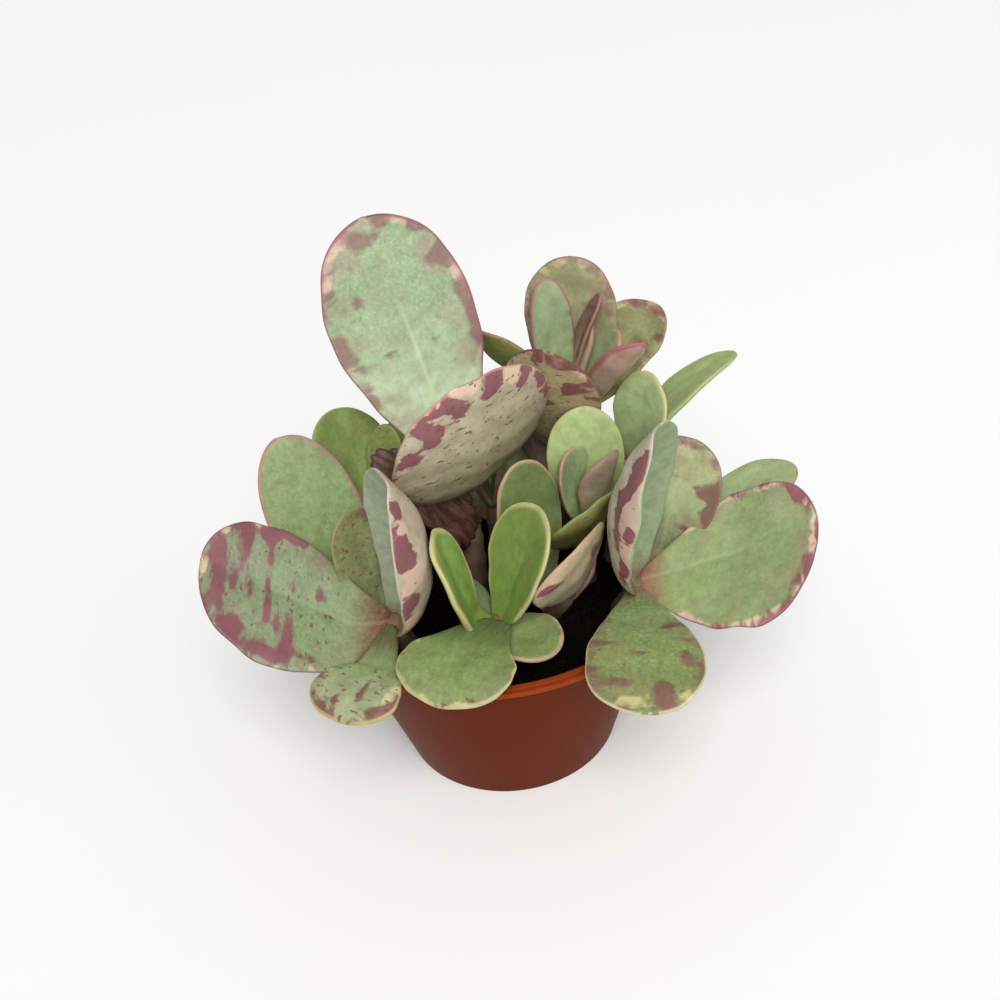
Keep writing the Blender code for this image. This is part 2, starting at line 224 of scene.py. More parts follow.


# Polypropylene from a smooth mould: an even colour with faint flow clouding, a soft gloss, and a
# very slight orange peel that breaks up the reflections. The rim band is painted brighter orange as a
# painted highlight.
plastic, tree, surface = new_material("moulded polypropylene")
place = add(tree, "TexCoord")["Object"]
clouding = add(tree, "TexNoise", {"Vector": place, "Scale": 1 / 0.03, "Detail": 3.0,
                                  "Roughness": 0.5})["Fac"]
pot_tint = add(tree, "Mix", {"Factor": clouding, 6: colour(POT_SHADE), 7: colour(POT_COLOUR)},
               data_type="RGBA")[2]
height = add(tree, "SeparateXYZ", {"Vector": place})["Z"]
# The band at the rim is painted brighter: a painted highlight on the rim's top, with the wall below left
# darker.
rim_highlight_share = add(tree, "MapRange", {"Value": height, "From Min": 0.0525, "From Max": 0.0558},
             interpolation_type="SMOOTHSTEP")["Result"]
pot_tint_with_rim_highlight = add(tree, "Mix", {"Factor": rim_highlight_share, 6: pot_tint, 7: colour(RIM_HIGHLIGHT_COLOUR)}, data_type="RGBA")[2]
peel = add(tree, "TexNoise", {"Vector": place, "Scale": 1 / 0.0012, "Detail": 2.0})["Fac"]
gloss = add(tree, "MapRange", {"Value": clouding, "To Min": 0.34, "To Max": 0.46})["Result"]
relief = add(tree, "Bump", {"Height": peel, "Strength": 0.12, "Distance": 0.00005})["Normal"]
fill(surface, {"Base Color": pot_tint_with_rim_highlight, "Roughness": gloss, "Normal": relief, "IOR": 1.49,
               "Specular IOR Level": 0.03})

pot_profile = rounded([
    (0, 0, 0),
    (BASE_RADIUS - 0.3, 0, 0.9),
    (WALL_TOP_RADIUS, WALL_TOP_HEIGHT, 0.6),
    (RIM_INNER_RADIUS, LIP_UNDERSIDE, 0.3),
    (RIM_RADIUS, LIP_UNDERSIDE + 0.1, 0.35),
    (RIM_RADIUS, POT_HEIGHT - RIM_LIP_DROP, 0.3),
    (RIM_GROOVE_RADIUS + 0.25, POT_HEIGHT - RIM_LIP_DROP, 0.12),
    (RIM_GROOVE_RADIUS + 0.1, POT_HEIGHT - RIM_GROOVE, 0.05),
    (RIM_GROOVE_RADIUS - 0.1, POT_HEIGHT - RIM_GROOVE, 0.05),
    (RIM_GROOVE_RADIUS - 0.25, POT_HEIGHT, 0.12),
    (RIM_INNER_RADIUS, POT_HEIGHT, 0.5),
    (wall_radius(WALL_TOP_HEIGHT) - POT_WALL, WALL_TOP_HEIGHT, 0.8),
    (wall_radius(POT_FLOOR) - POT_WALL, POT_FLOOR, 1.0),
    (0, POT_FLOOR, 0),
])
pot = mesh_piece("nursery_pot", *turned(pot_profile, POT_STEPS), [plastic])
pot.data.set_sharp_from_angle(angle=math.radians(50))


def drill(piece, x, y, radius, depth):
    """Cuts an upright round hole, from 1 mm under the piece's floor up to that depth in it."""
    sides = 32
    turn = np.arange(sides) * 2 * math.pi / sides
    ring = np.stack([x + radius * np.cos(turn), y + radius * np.sin(turn)], 1)
    rings = [np.insert(ring, 2, z, axis=1) for z in (-1, depth)]
    points = np.concatenate(rings + [[(x, y, -1), (x, y, depth)]])
    drill_bit = mesh_piece("drill", points, closed_faces(2, sides), [])
    cut = piece.modifiers.new("hole", "BOOLEAN")
    cut.operation = "DIFFERENCE"
    cut.object = drill_bit
    graph = bpy.context.evaluated_depsgraph_get()
    holed = bpy.data.meshes.new_from_object(piece.evaluated_get(graph))
    piece.modifiers.clear()
    piece.data = holed
    bpy.data.objects.remove(drill_bit)


for hole in range(DRAIN_HOLES):
    angle = 2 * math.pi * (hole + 0.5) / DRAIN_HOLES
    drill(pot, DRAIN_CIRCLE_RADIUS * math.cos(angle), DRAIN_CIRCLE_RADIUS * math.sin(angle),
          DRAIN_HOLE_RADIUS, POT_FLOOR + 1)
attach(pot, "root")
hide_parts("pot")


# The soil is moist dark compost, filled to about a centimetre under the rim. Its top is uneven,
# and crumbs of peat and bark lie loose on it.
SOIL_HEIGHT = 47.2
SOIL_RELIEF = 0.9
SOIL_RINGS = 90
SOIL_STEPS = 240
CRUMBS = 1500
CRUMB_SIZE = (0.5, 1.7)
SOIL_COLOUR = "0B0705"
CRUMB_COLOUR = "1D130C"

soil_draws = np.random.default_rng(11)
waves = 36
wave_length = soil_draws.uniform(3.0, 16.0, waves)
wave_way = soil_draws.uniform(0, 2 * math.pi, waves)
wave_start = soil_draws.uniform(0, 2 * math.pi, waves)


def soil_height(x, y):
    """Height of the soil at a place: a sum of sine waves of random length and direction, with
    longer waves higher, about the filling height."""
    phase = (np.multiply.outer(x, np.cos(wave_way)) + np.multiply.outer(y, np.sin(wave_way)))
    swell = np.sin(phase * 2 * math.pi / wave_length + wave_start) * wave_length / 16
    return SOIL_HEIGHT + SOIL_RELIEF * swell.sum(-1) / math.sqrt(waves)


compost, tree, surface = new_material("moist peat compost")
place = add(tree, "TexCoord")["Object"]
lumps = add(tree, "TexNoise", {"Vector": place, "Scale": 1 / 0.0022, "Detail": 6.0,
                               "Roughness": 0.7})["Fac"]
grit = add(tree, "TexVoronoi", {"Vector": place, "Scale": 1 / 0.0012})["Distance"]
shade = add(tree, "MapRange", {"Value": lumps, "From Min": 0.42, "From Max": 0.75})["Result"]
soil_tint = add(tree, "Mix", {"Factor": shade, 6: colour(SOIL_COLOUR), 7: colour(CRUMB_COLOUR)},
                data_type="RGBA")[2]
bumps = add(tree, "Math", {0: lumps, 1: grit}, operation="ADD")["Value"]
relief = add(tree, "Bump", {"Height": bumps, "Strength": 0.9, "Distance": 0.0006})["Normal"]
fill(surface, {"Base Color": soil_tint, "Normal": relief, "Roughness": 0.95,
               "Specular IOR Level": 0.04})

soil_edge = wall_radius(SOIL_HEIGHT) - POT_WALL - 0.15
soil_foot = wall_radius(POT_FLOOR + 0.3) - POT_WALL - 0.3
soil_radii = soil_edge * np.sqrt(np.linspace(0, 1, SOIL_RINGS))[1:]
soil_profile = np.array([(0, POT_FLOOR + 0.3), (soil_foot, POT_FLOOR + 0.3)]
                        + [(r, SOIL_HEIGHT) for r in soil_radii[::-1]] + [(0, SOIL_HEIGHT)])
soil_points, soil_faces = turned(soil_profile, SOIL_STEPS)
top = soil_points[:, 2] > SOIL_HEIGHT - 0.01
soil_points[top, 2] = soil_height(soil_points[top, 0], soil_points[top, 1])
rim_drop = np.clip((np.hypot(soil_points[:, 0], soil_points[:, 1]) - soil_edge + 3) / 3, 0, 1)
soil_points[top, 2] -= 0.8 * rim_drop[top] ** 2
soil = mesh_piece("potting_compost", soil_points, soil_faces, [compost])
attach(soil, "root")
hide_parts("potting_soil")

golden = (1 + math.sqrt(5)) / 2
ball = np.array([(0, s, g * golden) for s in (-1, 1) for g in (-1, 1)])
ball = np.concatenate([ball, ball[:, [2, 0, 1]], ball[:, [1, 2, 0]]]) / math.hypot(1, golden)
spread = np.linalg.norm(ball[:, None] - ball[None], axis=2)
near = (spread > 0.1) & (spread < 1.2)
ball_faces = []
for a, b, c in itertools.combinations(range(12), 3):
    if near[a, b] and near[b, c] and near[a, c]:
        out = np.dot(np.cross(ball[b] - ball[a], ball[c] - ball[a]), ball[a] + ball[b] + ball[c])
        ball_faces.append((a, b, c) if out > 0 else (a, c, b))
ball_faces = np.array(ball_faces)
crumb_radius = (soil_edge - 1.5) * np.sqrt(soil_draws.uniform(0, 1, CRUMBS))
crumb_turn = soil_draws.uniform(0, 2 * math.pi, CRUMBS)
crumb_size = CRUMB_SIZE[0] + (CRUMB_SIZE[1] - CRUMB_SIZE[0]) * soil_draws.uniform(0, 1, CRUMBS) ** 3
crumb_x = crumb_radius * np.cos(crumb_turn)
crumb_y = crumb_radius * np.sin(crumb_turn)
shapes = ball[None] * soil_draws.uniform(0.55, 1.0, (CRUMBS, 12, 1))
shapes = shapes * soil_draws.uniform(0.6, 1.3, (CRUMBS, 1, 3)) * crumb_size[:, None, None]
crumb_centres = np.stack([crumb_x, crumb_y, soil_height(crumb_x, crumb_y) + 0.2 * crumb_size], 1)
crumb_points = (shapes + crumb_centres[:, None]).reshape(-1, 3)
crumb_faces = (ball_faces[None] + 12 * np.arange(CRUMBS)[:, None, None]).reshape(-1, 3).tolist()
crumbs = mesh_piece("compost_crumbs", crumb_points, crumb_faces, [compost], smooth=False)
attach(crumbs, "root")
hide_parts("potting_soil")


# The tall shoot stands at the back. Its stem is woody below and carries the plant's two largest
# leaves: one seen from above, tall and pale, and one leaning forward that shows its underside.
# Every leaf is a thick, fleshy, waxy blade that narrows into a short stalk grown on the stem.
STALK_HALF_WIDTH = 2.2
STALK_SHARE = 0.2
ROOT_ROUND_SHARE = 0.05
THICKNESS_AT_TIP = 0.75
THICKNESS_TOWARDS_ROOT = 0.35
WAVE_TURNS = 15.0
WAVE_SHIFT = 1.9
LARGE_LEAF_LENGTH = 44.0
LARGE_LEAF_GRID = (76, 68)
SMALL_LEAF_GRID = (50, 48)
MIDRIB_GROOVE = 0.35
SURFACE_SWELL = 0.28
MIDRIB_HALF_WIDTH = 1.5
MIDRIB_GROWS = (0.04, 0.2)
SWELL_WAVES = (9, 12, 15, 19)
SWELL_GROWS = (0.1, 0.35)
OUTLINE_TURNS = (2, 3, 5)
MARGIN_TRACE = 300
FACE_CHANGES = (-0.2, 0.1)
CREAM_REACH = 0.8
VEIL_REACH = 1.7
MARKS_AT_ROOT = 0.35
STALK_COLOUR_ENDS = (0.03, 0.22)
BLADE_COLOUR_GROWS = (0.1, 0.75)
MARGIN_MARKS_GROW = (0.12, 0.6)
MARKS_GROW = (0.1, 0.3)
RIB_FADES = (0.45, 0.8)
STEM_FOOT_HEIGHT = 38.0
STEM_SIDES = 24
STEM_STEPS = 14
SCAR_SPACING = 6.5
SCAR_SWELL = 0.09
SCAR_REACH = 0.9

USUAL_LOOK = dict(
    top="889B62", top_root="91A46A", under="94A074", under_root="96906E", stalk="83604A",
    line="A9716A", line_width=0.4,
    marks=(0.3, 0.2), under_marks=(0.36, 0.22), band=5.0, soft=0.08, under_soft=0.035,
    opaque=0.88, veil=0.3, cream=0.2, under_cream=0.25, speck=0.2, under_speck=0.26,
    rib=0.15, bloom=0.3, hue=0.5, spots=(), under_spots=(), pale=(), under_pale=(),
)


def leaf(root, heading, rise, length, breadth, turn=0, cup=0.15, bow=0.03, wedge=0.9, wave=0.0,
         lean=0.0, skew=0.0, thickness=3.0, ripple=0.006, dents=(), **look):
    """One leaf: its form, named as in the solids, and its look where it isn't the usual one.

    ripple is how far the outline wanders, as a share. A dent is (mm from the root, side 1 or
    -1, depth, width). A spot is (mm from the root, mm to the left of the midrib, half length,
    half breadth, strength) and adds dark colour, or takes it away if its strength is negative.
    """
    return dict(root=root, heading=heading, rise=rise, length=length, breadth=breadth, turn=turn,
                cup=cup, bow=bow, wedge=wedge, wave=wave, lean=lean, skew=skew, thickness=thickness,
                ripple=ripple, dents=dents, look={**USUAL_LOOK, **look})


def blend(low, high, share):
    """low where the share is 0, high where it is 1, and evenly between."""
    return low + (high - low) * share


def ease(value, low, high):
    """A smooth step from 0 at low to 1 at high: 3u^2 - 2u^3."""
    u = np.clip((value - low) / (high - low), 0, 1)
    return u * u * (3 - 2 * u)


def nearest_on_stem(point, knots):
    """The point of a stem's middle line that lies nearest to a leaf's root."""
    best = None
    for low, high in zip(knots, knots[1:]):
        run = high - low
        found = low + np.clip(np.dot(point - low, run) / np.dot(run, run), 0, 1) * run
        if best is None or np.linalg.norm(point - found) < np.linalg.norm(point - best):
            best = found
    return best


def root_cap(along):
    """Rounds the stalk's end like a circle, over the first share of the leaf."""
    return np.sqrt(1 - (1 - np.clip(along / ROOT_ROUND_SHARE, 0, 1)) ** 2)


def half_breadth(shape, along, side, draws):
    """Half the breadth at a share along the leaf: share^wedge * sqrt(1 - share), scaled to the
    breadth, plus a stalk that thins out, times a ripple of sine waves, less the dents."""
    wedge = shape["wedge"]
    peak_at = wedge / (wedge + 0.5)
    peak = peak_at**wedge * (1 - peak_at) ** 0.5
    half = shape["breadth"] / 2 * along**wedge * np.sqrt(1 - along) / peak
    for turns, start in zip(OUTLINE_TURNS, draws[:3]):
        half = half * (1 + shape["ripple"] * np.sin(2 * np.pi * turns * along + start + 2.2 * side))
    for x, dent_side, depth, width in shape["dents"]:
        dent = depth * np.exp(-(((shape["length"] * along - x) / width) ** 2))
        half = half - dent * (side == dent_side)
    return half + STALK_HALF_WIDTH * (1 - along) ** 3 * root_cap(along)


def leaf_surface(shape, knots, number):
    """Points, faces and surface values of one leaf, on a grid of share along by turn round.

    At the turn a the place across is cos a and the height is (depth / 2) sign(sin a)
    |sin a|^0.62. skew moves a point back by its share of the place to the left. The margins
    lift with the 1.7th power of the place across, less towards the tip by sqrt(1 - along^4),
    and swing in a sine wave that grows along the leaf. The midrib is a groove above and a low
    ridge below, and the faces swell a little in long waves. The stalk's end bends in to the
    middle of the stem.
    """
    draws = np.random.default_rng(100 + number).uniform(0, 2 * np.pi, 20)
    rings, sides = LARGE_LEAF_GRID if shape["length"] >= LARGE_LEAF_LENGTH else SMALL_LEAF_GRID
    along = np.repeat(((1 - np.cos(np.linspace(0, np.pi, rings + 2)[1:-1])) / 2)[:, None], sides, 1)
    angle = np.repeat((np.arange(sides) * 2 * np.pi / sides)[None, :], rings, 0)
    across, upward = np.cos(angle), np.where(np.isclose(np.sin(angle), 0), 0, np.sin(angle))
    side = np.where(across >= 0, 1, -1)
    length, cup = shape["length"], shape["cup"]

    half = half_breadth(shape, along, side, draws)
    tip_cap = np.sqrt(1 - (2 * np.clip(along, 0.5, 1) - 1) ** 6)
    depth = shape["thickness"] * (THICKNESS_AT_TIP + THICKNESS_TOWARDS_ROOT * (1 - along))
    depth = depth * root_cap(along) * tip_cap
    x = length * along
    half = half * (1 + shape["lean"] * across)
    y = half * across * (1 - 0.1 * cup * across**2)
    lift = cup * half * np.abs(across) ** 1.7 * np.sqrt(1 - along**4)
    lift = lift + shape["bow"] * length * 4 * along * (1 - along)
    swing = np.sin(WAVE_TURNS * along + WAVE_SHIFT * (across > 0))
    lift = lift + shape["wave"] * along * np.abs(across) ** 3 * swing
    lift = lift + depth / 2 * np.sign(upward) * np.abs(upward) ** 0.62
    swell = np.zeros_like(x)
    for wave_mm, way, start in zip(SWELL_WAVES, draws[3:7], draws[7:11]):
        swell += np.sin((x * np.cos(way) + y * np.sin(way)) * 2 * np.pi / wave_mm + start) / 2
    lift = lift + SURFACE_SWELL * swell * ease(along, *SWELL_GROWS)
    groove = np.exp(-((y / MIDRIB_HALF_WIDTH) ** 2)) * (1 - along) ** 0.6 * ease(along, *MIDRIB_GROWS)
    lift = lift - MIDRIB_GROOVE * groove * np.clip(3 * np.abs(upward), 0, 1)

    heading, rise, turn = np.radians([shape["heading"], shape["rise"], shape["turn"]])
    midrib = np.array([np.cos(rise) * np.cos(heading), np.cos(rise) * np.sin(heading), np.sin(rise)])
    normal = np.array([-np.sin(rise) * np.cos(heading), -np.sin(rise) * np.sin(heading), np.cos(rise)])
    left = np.cross(normal, midrib)
    up = normal * np.cos(turn) + left * np.sin(turn)
    sideways = left * np.cos(turn) - normal * np.sin(turn)
    root = np.array(shape["root"], float)
    inwards = nearest_on_stem(root, knots) - root
    forward = x - shape["skew"] * y
    points = root + forward[..., None] * midrib + y[..., None] * sideways + lift[..., None] * up
    points = points + (np.clip(1 - along / STALK_SHARE, 0, 1) ** 1.5)[..., None] * inwards
    points = np.concatenate([points.reshape(-1, 3), [root + inwards, root + length * midrib]])

    trace = np.linspace(0, 1, MARGIN_TRACE)
    rim = np.concatenate([
        np.stack([length * trace, s * (1 + s * shape["lean"]) * half_breadth(shape, trace, s, draws)], 1)
        for s in (1, -1)])
    flat = np.stack([x.ravel(), y.ravel()], 1)
    edge = np.concatenate([np.sqrt(((flat[i:i + 800, None] - rim[None]) ** 2).sum(2).min(1))
                           for i in range(0, len(flat), 800)])
    values = leaf_finish(shape["look"], along.ravel(), upward.ravel(), flat, edge, length, number)
    for name, rows in values.items():
        values[name] = np.concatenate([rows, [rows[:sides].mean(0), rows[-sides:].mean(0)]])
    return points, closed_faces(rings, sides), values


def leaf_finish(look, along, upward, flat, edge, length, number):
    """The values that the leaf material reads, for each point of one leaf.

    The ground colour runs from stalk to blade and from the upper face to the underside. Dark
    colour follows exp(-(distance from the margin / band)^1.5), fades towards the root, and has
    bumps exp(-distance^2) where spots are placed. Pale patches are laid on in the same way.
    """
    top = ease(upward, *FACE_CHANGES)[:, None]
    grown = ease(along, *BLADE_COLOUR_GROWS)[:, None]
    colours = {name: np.array(colour(look[name])) for name in
               ("top", "top_root", "under", "under_root", "stalk", "line")}
    above = blend(colours["top_root"], colours["top"], grown)
    below = blend(colours["under_root"], colours["under"], grown)
    stalk = 1 - ease(along, *STALK_COLOUR_ENDS)[:, None]
    ground = blend(blend(below, above, top), colours["stalk"], stalk)

    near = np.exp(-((edge / look["band"]) ** 1.5)) * ease(along, *MARGIN_MARKS_GROW)
    outer = ease(along, *MARKS_GROW)

    def face_value(name):
        """The value of the underside, blended into that of the upper face."""
        return blend(look["under_" + name], look[name], top[:, 0])

    def patches(name):
        """The sum of the placed spots, each on its own face."""
        total = np.zeros(len(along))
        for key, share in ((name, top[:, 0]), ("under_" + name, 1 - top[:, 0])):
            for x, y, long, broad, strength in look[key]:
                away = ((flat[:, 0] - x) / long) ** 2 + ((flat[:, 1] - y) / broad) ** 2
                total += strength * np.exp(-away) * share
        return total

    margin_above, inner_above = look["marks"]
    margin_below, inner_below = look["under_marks"]
    at_margin = blend(margin_below, margin_above, top[:, 0])
    inner = blend(inner_below, inner_above, top[:, 0])
    pigment = blend(inner, at_margin, near) * blend(MARKS_AT_ROOT, 1, outer) + patches("spots")
    speck = face_value("speck") * outer
    cream = face_value("cream") * np.exp(-((edge / (CREAM_REACH * look["band"])) ** 2)) * outer
    cream = cream + patches("pale")
    count = len(along)
    side = np.where(upward >= 0, 0.0, 17.0)
    ground[:, 3] = look["opaque"]
    edging = np.repeat(colours["line"][None], count, 0)
    veil = 0.2 + 0.8 * np.exp(-((edge / (VEIL_REACH * look["band"])) ** 1.5))
    edging[:, 3] = look["veil"] * veil * outer
    return {
        "ground": ground,
        "edging": edging,
        "marks": np.stack([pigment, speck, cream], 1),
        "margin": np.stack([edge, np.full(count, look["line_width"]) * outer, face_value("soft")], 1),
        "flat": np.stack([flat[:, 0], flat[:, 1], side + 40.0 * number], 1),
        "sides": np.stack([look["rib"] * top[:, 0] * (1 - ease(along, *RIB_FADES)),
                           np.full(count, look["bloom"]), np.full(count, look["hue"])], 1),
    }


def stem_surface(knots, radii, number):
    """Points, faces and surface values of a stem: rings of STEM_SIDES points along a smooth
    curve through the knots, with a low swelling at each old leaf scar and a rounded top."""
    spans = len(knots) - 1
    slopes = np.gradient(knots, axis=0)
    u = np.linspace(0, 1, STEM_STEPS, endpoint=False)[:, None]
    line = [(2 * u**3 - 3 * u**2 + 1) * knots[k] + (u**3 - 2 * u**2 + u) * slopes[k]
            + (3 * u**2 - 2 * u**3) * knots[k + 1] + (u**3 - u**2) * slopes[k + 1]
            for k in range(spans)]
    line = np.concatenate(line + [knots[-1:]])
    run = np.gradient(line, axis=0)
    run = run / np.linalg.norm(run, axis=1)[:, None]
    travel = np.concatenate([[0], np.cumsum(np.linalg.norm(np.diff(line, axis=0), axis=1))])
    share = np.linspace(0, 1, len(line))
    radius = blend(*radii, share)
    scars = np.abs((travel / SCAR_SPACING + 0.37 * number) % 1 - 0.5) * SCAR_SPACING
    radius = radius * (1 + SCAR_SWELL * np.exp(-((scars / SCAR_REACH) ** 2)))
    dome = np.sin(np.linspace(0, np.pi / 2, 6))[1:]
    crown = np.cos(np.linspace(0, np.pi / 2, 6))[1:]
    top = line[-1] + np.outer(dome[:-1], run[-1]) * radius[-1] * 0.6
    line = np.concatenate([line, top])
    run = np.concatenate([run, np.repeat(run[-1:], len(top), 0)])
    travel = np.concatenate([travel, travel[-1] + dome[:-1] * radius[-1] * 0.6])
    radius = np.concatenate([radius, crown[:-1] * radius[-1]])
    first = np.array([1.0, 0, 0]) - run * run[:, :1]
    first = first / np.linalg.norm(first, axis=1)[:, None]
    second = np.cross(run, first)
    angle = np.arange(STEM_SIDES) * 2 * np.pi / STEM_SIDES
    ring = first[:, None] * np.cos(angle)[None, :, None] + second[:, None] * np.sin(angle)[None, :, None]
    wobble = 1 + 0.04 * np.sin(3 * angle[None] + travel[:, None] / 5 + number)
    points = line[:, None] + ring * (radius[:, None] * wobble)[..., None]
    points = np.concatenate([points.reshape(-1, 3), [line[0], line[-1] + run[-1] * radius[-1] * 0.15]])
    height = np.concatenate([np.repeat(travel, STEM_SIDES), [travel[0], travel[-1]]])
    turn = np.concatenate([np.tile(angle, len(line)), [0, 0]])
    age = np.clip(1 - height / travel[-1], 0, 1)
    flat = np.stack([height, radii[0] * np.cos(turn), radii[0] * np.sin(turn) + 30 * number], 1)
    plain = np.zeros((len(points), 3))
    values = {"ground": np.ones((len(points), 4)), "edging": np.ones((len(points), 4)),
              "marks": np.stack([age, age, age], 1), "margin": plain, "flat": flat, "sides": plain}
    return points, closed_faces(len(line), STEM_SIDES), values


# A waxy, fleshy leaf: the green ground is clouded and dusted with a pale bloom, and carries
# clear-edged purple brown blotches, cream patches at the margin and a thin coloured edge line.
# A little light goes through the flesh, and the wax gives a soft, broken gloss.
leaf_skin, tree, surface = new_material("waxy kalanchoe leaf")
ground = add(tree, "Attribute", attribute_name="ground")
edging = add(tree, "Attribute", attribute_name="edging")
flat_place = add(tree, "Attribute", attribute_name="flat")["Vector"]
marks, margin, sides = [
    add(tree, "SeparateXYZ", {"Vector": add(tree, "Attribute", attribute_name=name)["Vector"]})
    for name in ("marks", "margin", "sides")]
flat_parts = add(tree, "SeparateXYZ", {"Vector": flat_place})
crosswise = add(tree, "Mapping", {"Vector": flat_place, "Scale": (1.3, 0.65, 1.0)})["Vector"]
shifted = add(tree, "Mapping", {"Vector": flat_place, "Location": (3.0, 8.0, 5.0)})["Vector"]

# The patterns lie on the leaf laid flat, in millimetres: blotches about 6 mm across and drawn
# out crosswise, specks of 1.5, cream patches of 4.5, clouds of 3, stains of 8 and bloom of 1.
blotches, specks, creams, clouds, stains, dust = [
    add(tree, "TexNoise", {"Vector": where, "Scale": scale, "Detail": detail, "Roughness": rough,
                           "Distortion": bend})["Fac"]
    for where, scale, detail, rough, bend in (
        (crosswise, 0.17, 3.0, 0.55, 0.5),
        (crosswise, 0.65, 1.5, 0.5, 0.3),
        (shifted, 0.22, 2.0, 0.5, 0.5),
        (flat_place, 0.3, 4.0, 0.6, 0.0),
        (shifted, 0.12, 3.0, 0.6, 0.0),
        (flat_place, 0.9, 5.0, 0.75, 0.6))]


def over(noise, level, soft):
    """1 where a noise and a level add up to more than 1, with a soft step between."""
    total = add(tree, "Math", {0: noise, 1: level}, operation="ADD")["Value"]
    low = add(tree, "Math", {0: 1.0, 1: soft}, operation="SUBTRACT")["Value"]
    high = add(tree, "Math", {0: 1.0, 1: soft}, operation="ADD")["Value"]
    return add(tree, "MapRange", {"Value": total, "From Min": low, "From Max": high},
               interpolation_type="SMOOTHSTEP")["Result"]


cloud_level = add(tree, "MapRange", {"Value": clouds, "From Min": 0.3, "From Max": 0.7,
                                     "To Min": 0.8, "To Max": 1.14})["Result"]
clouded = add(tree, "VectorMath", {"Vector": ground["Color"], "Scale": cloud_level},
              operation="SCALE")["Vector"]
dust_level = add(tree, "MapRange", {"Value": dust, "From Min": 0.45, "From Max": 0.68})["Result"]
stain_level = add(tree, "MapRange", {"Value": stains, "From Min": 0.4, "From Max": 0.66},
                  interpolation_type="SMOOTHSTEP")["Result"]
rib_away = add(tree, "Math", {0: flat_parts["Y"]}, operation="ABSOLUTE")["Value"]
line_start, line_end = [
    add(tree, "Math", {0: margin["Y"], 1: share}, operation="MULTIPLY")["Value"] for share in (0.4, 1.5)]
rib_line, line_level = [
    add(tree, "MapRange", {"Value": away, "From Min": full, "From Max": none, "To Min": 1.0,
                           "To Max": 0.0}, interpolation_type="SMOOTHSTEP")["Result"]
    for away, full, none in ((rib_away, 0.15, 0.9), (margin["X"], line_start, line_end))]
browner = add(tree, "Math", {0: sides["Z"], 1: 1.6}, operation="MULTIPLY")["Value"]
deeper = add(tree, "Math", {0: stain_level, 1: 0.4}, operation="MULTIPLY")["Value"]
stain, cream, dark = [
    add(tree, "Mix", {"Factor": hue, 6: colour(purplish), 7: colour(brownish)}, data_type="RGBA")[2]
    for hue, purplish, brownish in ((browner, "A9747C", "86684F"), (browner, "DCBBA9", "CFC688"),
                                    (sides["Z"], "7F4152", "5F3C2C"))]
blotch = add(tree, "Mix", {"Factor": deeper, 6: dark, 7: colour("95525F")}, data_type="RGBA")[2]

skin = clouded
for above, shares in (
        (colour("CFD9BC"), (dust_level, sides["Y"], 0.5)),
        (colour("D2DDB4"), (rib_line, sides["X"])),
        (stain, (stain_level, edging["Alpha"], 0.6)),
        (cream, (over(creams, marks["Z"], 0.1), 0.78)),
        (blotch, (over(blotches, marks["X"], margin["Z"]), ground["Alpha"])),
        (colour("7B4540"), (over(specks, marks["Y"], 0.025), 0.8)),
        (edging["Color"], (line_level, 0.8))):
    laid = shares[0]
    for share in shares[1:]:
        laid = add(tree, "Math", {0: laid, 1: share}, operation="MULTIPLY")["Value"]
    skin = add(tree, "Mix", {"Factor": laid, 6: skin, 7: above}, data_type="RGBA")[2]
wax = add(tree, "MapRange", {"Value": dust, "To Min": 0.3, "To Max": 0.55})["Result"]
pores = add(tree, "Math", {0: dust, 1: clouds}, operation="ADD")["Value"]
relief = add(tree, "Bump", {"Height": pores, "Strength": 0.35, "Distance": 0.00018})["Normal"]
fill(surface, {"Base Color": skin, "Roughness": wax, "Normal": relief, "IOR": 1.45,
               "Specular IOR Level": 0.35, "Subsurface Weight": 0.12,
               "Subsurface Radius": (1.0, 1.0, 0.45), "Subsurface Scale": 0.002})

# The stem's bark is grey brown and cracked along its length at the foot, where it is oldest,
# and a smooth reddish green near the top. Its values come in as the age in the marks.
stem_bark, tree, surface = new_material("young kalanchoe stem")
flat_place = add(tree, "Attribute", attribute_name="flat")["Vector"]
marks_place = add(tree, "Attribute", attribute_name="marks")["Vector"]
age = add(tree, "SeparateXYZ", {"Vector": marks_place})["X"]
lengthwise = add(tree, "Mapping", {"Vector": flat_place, "Scale": (0.25, 1.0, 1.0)})["Vector"]
cracks = add(tree, "TexNoise", {"Vector": lengthwise, "Scale": 0.9, "Detail": 4.0,
                                "Roughness": 0.65})["Fac"]
bark_age = add(tree, "MapRange", {"Value": age, "From Min": 0.1, "From Max": 0.5},
               interpolation_type="SMOOTHSTEP")["Result"]
young, old = [
    add(tree, "Mix", {"Factor": cracks, 6: colour(deep), 7: colour(pale)}, data_type="RGBA")[2]
    for deep, pale in (("7D7A4C", "7A4A3C"), ("2C2019", "6E5642"))]
bark = add(tree, "Mix", {"Factor": bark_age, 6: young, 7: old}, data_type="RGBA")[2]
relief = add(tree, "Bump", {"Height": cracks, "Strength": 0.8, "Distance": 0.0005})["Normal"]
fill(surface, {"Base Color": bark, "Normal": relief, "Roughness": 0.6})


